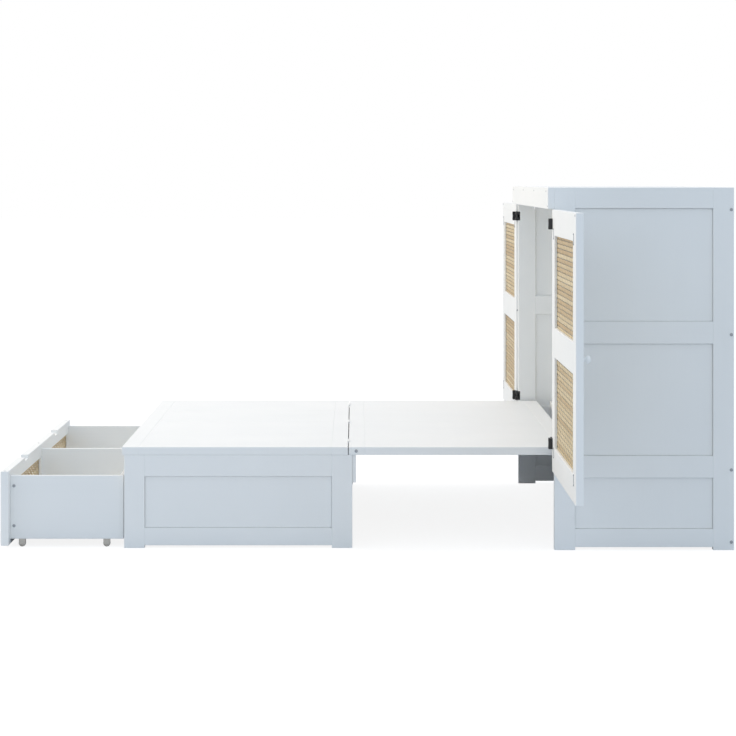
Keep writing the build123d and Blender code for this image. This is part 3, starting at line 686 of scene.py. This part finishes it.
    # Stakes: round canes from edge to edge, where the weavers swing furthest.
    half_count = math_node("FLOOR", math_node("DIVIDE", half_width, given.outputs["Stake pitch"]))
    stake_count = math_node("ADD", math_node("MULTIPLY", half_count, 2.0), 1.0)
    last_stake = math_node("MULTIPLY", half_count, given.outputs["Stake pitch"])
    first_stake = math_node("MULTIPLY", last_stake, -1.0)
    upward = add_node(
        tree,
        "GeometryNodeCurvePrimitiveLine",
        {"Start": vector(z=minus_half_height), "End": vector(z=half_height)},
    )
    round_section = add_node(
        tree,
        "GeometryNodeCurvePrimitiveCircle",
        {"Resolution": 8, "Radius": given.outputs["Stake radius"]},
    )
    stake = add_node(
        tree,
        "GeometryNodeCurveToMesh",
        {"Curve": upward.outputs[0], "Profile Curve": round_section.outputs[0], "Fill Caps": True},
    )
    stake_points = add_node(
        tree,
        "GeometryNodeMeshLine",
        {
            "Count": stake_count,
            "Start Location": vector(y=first_stake),
            "Offset": vector(y=given.outputs["Stake pitch"]),
        },
    )
    stakes = add_node(
        tree,
        "GeometryNodeInstanceOnPoints",
        {"Points": stake_points.outputs[0], "Instance": stake.outputs[0]},
    )
    stakes_toned = add_node(
        tree,
        "GeometryNodeStoreNamedAttribute",
        {"Geometry": stakes.outputs[0], "Name": "strand_tone", "Value": stake_tone},
        data_type="FLOAT",
        domain="INSTANCE",
    )

    both = add_node(tree, "GeometryNodeJoinGeometry")
    tree.links.new(weavers.outputs[0], both.inputs[0])
    tree.links.new(stakes_toned.outputs[0], both.inputs[0])
    smooth = add_node(tree, "GeometryNodeSetShadeSmooth", {"Geometry": both.outputs[0]})
    panels = add_node(
        tree,
        "GeometryNodeInstanceOnPoints",
        {"Points": given.outputs["Geometry"], "Instance": smooth.outputs[0]},
    )
    real = add_node(tree, "GeometryNodeRealizeInstances", {"Geometry": panels.outputs[0]})
    finished = add_node(
        tree,
        "GeometryNodeSetMaterial",
        {"Geometry": real.outputs[0], "Material": given.outputs["Finish"]},
    )
    add_node(tree, "NodeGroupOutput", {0: finished.outputs[0]})
    return tree


plain_weave = weave_tree()
# The doors' rows are spaced as their bands are, and could be pairs of finer rows. The drawer's rows
# have a given spacing, and the pattern of over and under is an ordinary plain weave.
door_pitch, drawer_pitch, stake_pitch = 0.0150, 0.0105, 0.026
weaver_share, weaver_thickness, stake_radius = 0.97, 0.0011, 0.0004


def woven_panels(name, node, bays, pitch, seed):
    """Rattan for the given bays (spans in y and z), in the middle plane of the node it stands for."""
    low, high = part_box(node)
    result = bmesh.new()
    for number, (y, z) in enumerate(bays):
        base = bpy.data.meshes.new(name)
        base.from_pydata([((low.x + high.x) / 2, sum(y) / 2, sum(z) / 2)], [], [])
        values = {
            "Width": y[1] - y[0],
            "Height": z[1] - z[0],
            "Weaver pitch": pitch,
            "Stake pitch": stake_pitch,
            "Weaver width": pitch * weaver_share,
            "Weaver thickness": weaver_thickness,
            "Stake radius": stake_radius,
            "Finish": rattan,
            "Seed": seed + number,
        }
        panel = grown(f"{name}_{number}", base, plain_weave, values)
        result.from_mesh(panel.data)
        bpy.data.objects.remove(panel)
    mesh = bpy.data.meshes.new(name)
    result.to_mesh(mesh)
    result.free()
    mesh.materials.append(rattan)
    piece = bpy.data.objects.new(name, mesh)
    bpy.context.scene.collection.objects.link(piece)
    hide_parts(node)
    return piece


tongue = 0.0055
door_bay_zs = ((0.351, 0.652), (0.750, 1.055))
door_seeds = {"right": 11, "left": 23}
for side in sides:
    low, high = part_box(f"door_rattan_{side}")
    bays = [((low.y, high.y), (z[0] - tongue, z[1] + tongue)) for z in door_bay_zs]
    weave = woven_panels(
        f"door_weave_{side}", f"door_rattan_{side}", bays, door_pitch, seed=door_seeds[side]
    )
    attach(weave, f"door_{side}")


# Door knobs: turned wooden mushrooms on the doors' outer faces, sprayed with the doors. At rest they
# point towards the head end.
def lathed(name, profile, materials, steps=40, bands=()):
    """A turned solid about the X axis. profile is (distance along, radius) from end to end."""
    shape = bmesh.new()
    loops = []
    for along, radius in profile:
        turns = [2 * math.pi * step / steps for step in range(steps)]
        ring = [(along, radius * math.cos(turn), radius * math.sin(turn)) for turn in turns]
        loops.append([shape.verts.new(corner) for corner in ring])
    for number, (near, far) in enumerate(zip(loops, loops[1:])):
        for step in range(steps):
            follow = (step + 1) % steps
            face = shape.faces.new((near[step], near[follow], far[follow], far[step]))
            face.smooth = True
            face.material_index = 1 if number in bands else 0
    shape.faces.new(reversed(loops[0]))
    shape.faces.new(loops[-1])
    bmesh.ops.recalc_face_normals(shape, faces=shape.faces)
    mesh = bpy.data.meshes.new(name)
    shape.to_mesh(mesh)
    shape.free()
    for material in materials:
        mesh.materials.append(material)
    piece = bpy.data.objects.new(name, mesh)
    bpy.context.scene.collection.objects.link(piece)
    return piece


knob_profile = [
    (0.0, 0.0085), (0.0010, 0.0090), (0.0022, 0.0085), (0.0034, 0.0068), (0.0060, 0.0060),
    (0.0085, 0.0062), (0.0108, 0.0078), (0.0128, 0.0100), (0.0150, 0.0115), (0.0175, 0.0120),
    (0.0200, 0.0117), (0.0222, 0.0105), (0.0238, 0.0082), (0.0247, 0.0050), (0.0250, 0.0015),
]
for side in sides:
    low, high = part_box(f"door_knob_{side}")
    knob = lathed(f"door_knob_turned_{side}", knob_profile, [paint_x])
    knob.data.transform(Matrix.Translation((low.x, (low.y + high.y) / 2, (low.z + high.z) / 2)))
    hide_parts(f"door_knob_{side}")
    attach(knob, f"door_{side}")


# Door hinges: cast black forks let into the posts, with leaves and covers screwed to the doors.
# Powder coated, which gives them a deep matt black with a fine pebbled skin.
black_coat = bpy.data.materials.new("black_powder_coated_steel")
black_coat.use_nodes = True
tree = black_coat.node_tree
tree.nodes.clear()
place = add_node(tree, "ShaderNodeTexCoord")
pebble = add_node(
    tree, "ShaderNodeTexNoise", {"Vector": place.outputs["Object"], "Scale": 1400.0, "Detail": 2.0}
)
coat_tone = add_node(
    tree,
    "ShaderNodeMix",
    {"Factor": pebble.outputs["Fac"], 6: linear("#131416"), 7: linear("#26282b")},
    data_type="RGBA",
)
coat_bump = add_node(
    tree, "ShaderNodeBump", {"Height": pebble.outputs["Fac"], "Strength": 0.4, "Distance": 0.0002}
)
coat = add_node(
    tree,
    "ShaderNodeBsdfPrincipled",
    {"Base Color": coat_tone.outputs[2], "Roughness": 0.48, "Normal": coat_bump.outputs[0]},
)
add_node(tree, "ShaderNodeOutputMaterial", {"Surface": coat.outputs[0]})
dress(black_coat, "door_hinge_blocks")
cover_screw_radius, cover_screw_height = 0.0032, 0.0011
cover_screw_inset, cover_screw_rise = 0.0115, 0.011
hinge_zs = (0.359, 1.093)
for side, sign in sides.items():
    dress(black_coat, f"door_hinge_leaves_{side}")
    low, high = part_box(f"door_hinge_leaves_{side}")
    cover_y = low.y + cover_screw_inset if sign < 0 else high.y - cover_screw_inset
    screw_zs = [z + step * cover_screw_rise for z in hinge_zs for step in (-1, 1)]
    places = [((low.x, cover_y, z), (-1, 0, 0)) for z in screw_zs]
    hinge_screws = screws(
        f"hinge_cover_screws_{side}",
        f"door_{side}",
        places,
        cover_screw_radius,
        cover_screw_height,
        cross_recess,
        finish=black_coat,
        seed=3,
    )


# Clips that hold the rattan in the doors, at the outer corners of each pair of panels: a slim zinc
# strap on the stile with a pan-head screw at each end.
def plate(name, x, y, z, round_edge, material):
    """A flat plate that fills three spans, with its edges rounded over."""
    shape = bmesh.new()
    bmesh.ops.create_cube(shape, size=1.0)
    size = Vector((x[1] - x[0], y[1] - y[0], z[1] - z[0]))
    centre = Vector((sum(x) / 2, sum(y) / 2, sum(z) / 2))
    bmesh.ops.scale(shape, vec=size, verts=shape.verts)
    bmesh.ops.translate(shape, vec=centre, verts=shape.verts)
    bmesh.ops.bevel(shape, geom=shape.edges, offset=round_edge, segments=3, affect="EDGES", profile=0.5)
    mesh = bpy.data.meshes.new(name)
    shape.to_mesh(mesh)
    shape.free()
    mesh.materials.append(material)
    piece = bpy.data.objects.new(name, mesh)
    bpy.context.scene.collection.objects.link(piece)
    return piece


clip_length, clip_width, clip_thickness, clip_edge = 0.036, 0.005, 0.0012, 0.0004
clip_screw_radius, clip_screw_height = 0.0027, 0.0012
clip_from_bay = 0.024
clip_zs = {"low": 0.334, "high": 1.061}
for side in sides:
    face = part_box(f"door_stiles_{side}")[0].x
    weave_low, weave_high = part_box(f"door_rattan_{side}")
    clip_ys = (weave_low.y + tongue - clip_from_bay, weave_high.y - tongue + clip_from_bay)
    places = []
    for number, y in enumerate(clip_ys):
        for end, z in clip_zs.items():
            clip = plate(
                f"rattan_clip_{side}_{end}_{number}",
                (face - clip_thickness, face),
                (y - clip_width / 2, y + clip_width / 2),
                (z - clip_length / 2, z + clip_length / 2),
                clip_edge,
                zinc_plate,
            )
            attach(clip, f"door_{side}")
            reach = clip_length / 2 - clip_width / 2
            places += [((face - clip_thickness, y, z + rise), (-1, 0, 0)) for rise in (-reach, reach)]
    clip_screws = screws(
        f"rattan_clip_screws_{side}",
        f"door_{side}",
        places,
        clip_screw_radius,
        clip_screw_height,
        cross_recess,
        seed=5,
    )


# Both platforms: boards glued up edge to edge between battens, on bearers, sprayed white. The free
# end of the middle one rests on the foot one's tie rail.
dress(paint_y, "middle_platform_battens", "foot_platform_battens", "foot_platform_tie_rail")
dress(paint_x, "middle_platform_boards", "foot_platform_boards")
dress(paint_x, "middle_platform_bearers", "foot_platform_bearers")
# The seam hinges lie flush in the boards and are sprayed over with them.
dress(paint_y, "seam_hinge_leaves_middle", "seam_hinge_leaves_foot")


# Pivots and leg hinges, on which the platforms and the leg frames turn: steel pins, bushes and
# leaves, zinc plated. The hinge leaves are let in flush with the boards.
dress(
    zinc_plate,
    "platform_pivot_brackets",
    "middle_platform_bushes",
    "leg_hinge_leaves_deck",
    "leg_hinge_leaves_right",
    "leg_hinge_leaves_left",
)


# Leg frames under the foot platform: posts, rails and a panel each, made and sprayed like the
# cabinet sides. They fold inward under the platform.
for side in sides:
    dress(paint_z, f"leg_frame_posts_{side}")
    dress(paint_x, f"leg_frame_rails_{side}", f"leg_frame_panel_{side}")


# Drawer: a framed front with rattan like the doors', and a plain box behind it with a divider, all
# sprayed white. Screw heads show on the front's top edge, and larger bolt heads on the sides.
dress(paint_y, "drawer_front_rails", "drawer_back", "drawer_bottom")
dress(paint_z, "drawer_front_stiles")
dress(paint_x, "drawer_sides", "drawer_divider")

drawer_weave_low, drawer_weave_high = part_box("drawer_front_rattan")
drawer_stile_half = 0.030
drawer_bays = []
for sign in sides.values():
    inner, outer = drawer_stile_half - tongue, drawer_weave_high.y
    span = tuple(sorted((sign * inner, sign * outer)))
    drawer_bays.append((span, (drawer_weave_low.z, drawer_weave_high.z)))
drawer_weave = woven_panels("drawer_weave", "drawer_front_rattan", drawer_bays, drawer_pitch, seed=37)
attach(drawer_weave, "drawer")

front_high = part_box("drawer_front_rails")[1]
screw_low, screw_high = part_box("drawer_screws")
front_screw_x = screw_low.x + screw_radius
front_screw_y = 0.777
side_bolt_x = screw_high.x - bolt_radius
side_bolt_size = 1.8
side_bolt_zs = (0.071, 0.206)
drawer_side_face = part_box("drawer_sides")[1].y
drawer_places = [
    ((front_screw_x, y, front_high.z), (0, 0, 1)) for y in (-front_screw_y, 0.0, front_screw_y)
]
drawer_places += [
    ((side_bolt_x, sign * drawer_side_face, z), (0, sign, 0), side_bolt_size)
    for sign in sides.values()
    for z in side_bolt_zs
]
drawer_heads = screws(
    "drawer_screw_heads", "drawer", drawer_places, screw_radius, screw_height, cross_recess, seed=7
)
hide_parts("drawer_screws")


# Castors: grey nylon housings under the drawer's sides, with wheels on steel axles. A wheel is a
# moulded hub with a soft grey tyre round it.
def moulded(name, hex_colour, roughness):
    """Moulded plastic: one colour all through, a faint mottle and a slightly uneven low sheen."""
    material = bpy.data.materials.new(name)
    material.use_nodes = True
    tree = material.node_tree
    tree.nodes.clear()
    place = add_node(tree, "ShaderNodeTexCoord")
    mottle = add_node(
        tree, "ShaderNodeTexNoise", {"Vector": place.outputs["Object"], "Scale": 260.0, "Detail": 3.0}
    )
    shade = add_node(
        tree,
        "ShaderNodeMapRange",
        {
            "Value": mottle.outputs["Fac"],
            "From Min": 0.3,
            "From Max": 0.7,
            "To Min": 0.92,
            "To Max": 1.04,
        },
    )
    tone = add_node(
        tree,
        "ShaderNodeMix",
        {"Factor": 1.0, 6: linear(hex_colour), 7: shade.outputs[0]},
        data_type="RGBA",
        blend_type="MULTIPLY",
    )
    bump = add_node(
        tree, "ShaderNodeBump", {"Height": mottle.outputs["Fac"], "Strength": 0.2, "Distance": 0.0001}
    )
    plastic = add_node(
        tree,
        "ShaderNodeBsdfPrincipled",
        {"Base Color": tone.outputs[2], "Roughness": roughness, "Normal": bump.outputs[0]},
    )
    add_node(tree, "ShaderNodeOutputMaterial", {"Surface": plastic.outputs[0]})
    return material


nylon = moulded("grey_moulded_nylon", "#cbc3b8", 0.42)
tyre = moulded("soft_grey_tyre_rubber", "#b3aca3", 0.62)
dress(nylon, "castor_housings")
bore = 0.00205
wheel_profile = [
    (-0.0060, bore), (-0.0060, 0.0048), (-0.0052, 0.0058), (-0.0052, 0.0082), (-0.0060, 0.0088),
    (-0.0060, 0.0104), (-0.0052, 0.0116), (-0.0038, 0.0120), (-0.0008, 0.0120), (0.0008, 0.0120),
    (0.0038, 0.0120), (0.0052, 0.0116), (0.0060, 0.0104), (0.0060, 0.0088), (0.0052, 0.0082),
    (0.0052, 0.0058), (0.0060, 0.0048), (0.0060, bore),
]
tyre_bands = range(4, 13)
for side in sides:
    for end in ("front", "rear"):
        node = f"castor_wheel_{end}_{side}"
        low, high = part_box(node)
        wheel = lathed(
            f"castor_turned_{end}_{side}", wheel_profile, [nylon, tyre], steps=32, bands=tyre_bands
        )
        wheel.data.transform(Matrix.Rotation(math.pi / 2, 4, "Z"))
        wheel.data.transform(Matrix.Translation((low + high) / 2))
        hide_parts(node)
        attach(wheel, node)


# Magnetic catch of the doors: a white plastic body behind the apron's lower edge, at the middle, and
# a small steel strike on the inner face of each door, at its free top corner.
catch_depth, catch_half, catch_drop, catch_rise, catch_edge = 0.012, 0.023, 0.011, 0.018, 0.0010
apron_low_corner, apron_high_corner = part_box("front_apron")
catch_plastic = moulded("white_moulded_plastic", "#eceded", 0.38)
catch = plate(
    "door_catch",
    (apron_high_corner.x, apron_high_corner.x + catch_depth),
    (-catch_half, catch_half),
    (apron_low_corner.z - catch_drop, apron_low_corner.z + catch_rise),
    catch_edge,
    catch_plastic,
)
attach(catch, "cabinet")
strike_from_edge, strike_from_top = 0.022, 0.008
strike_radius, strike_height = 0.0035, 0.0012
for side, sign in sides.items():
    low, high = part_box(f"door_stiles_{side}")
    strike_y = low.y + strike_from_edge if sign < 0 else high.y - strike_from_edge
    strike = screws(
        f"door_strike_{side}",
        f"door_{side}",
        [((low.x, strike_y, high.z - strike_from_top), (-1, 0, 0))],
        strike_radius,
        strike_height,
        cross_recess,
        seed=9,
    )


# A small screw in each door's hinge edge, near its inner face and about half way up: zinc plated,
# with a cross recess like the others.
edge_screw_z, edge_screw_from_face = 0.706, 0.006
edge_screw_radius, edge_screw_height = 0.0035, 0.0010
for side, sign in sides.items():
    low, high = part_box(f"door_stiles_{side}")
    edge_y = high.y if sign < 0 else low.y
    edge_screw = screws(
        f"door_edge_screw_{side}",
        f"door_{side}",
        [((low.x + edge_screw_from_face, edge_y, edge_screw_z), (0, -sign, 0))],
        edge_screw_radius,
        edge_screw_height,
        cross_recess,
        seed=13,
    )
